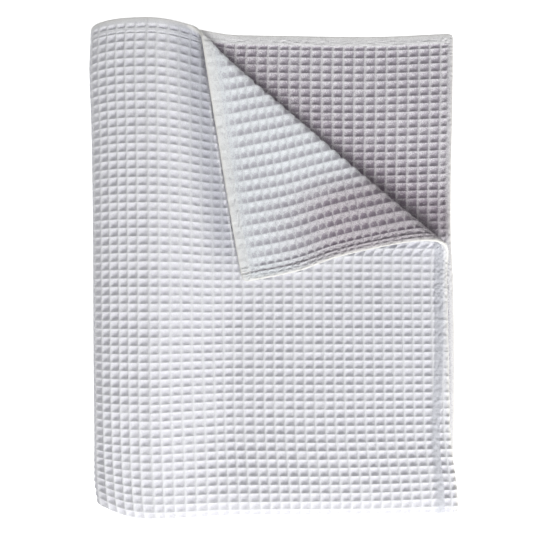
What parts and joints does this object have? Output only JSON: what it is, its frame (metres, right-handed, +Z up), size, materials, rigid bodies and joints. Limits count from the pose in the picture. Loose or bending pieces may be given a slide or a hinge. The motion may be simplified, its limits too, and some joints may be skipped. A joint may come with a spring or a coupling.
{
  "type": "waffle weave cotton blanket",
  "caption": "Thick cotton waffle weave blanket, folded in quarters, with one soft rolled side and a corner of the top layer turned back to show the other face.",
  "frame": {"origin": "centre of the folded blanket's footprint, on the surface that it lies on", "axes": "+Z up from the surface, +Y from the bottom fold to the top hems, +X from the rolled fold to the side hems"},
  "size_m": [0.3772, 0.5022, 0.0481],
  "materials": {
    "white_cotton": "matt white cotton in a deep waffle weave, with a plain turned hem all round"
  },
  "bodies": {
    "root": {"blanket": "white_cotton"}
  },
  "joints": []
}
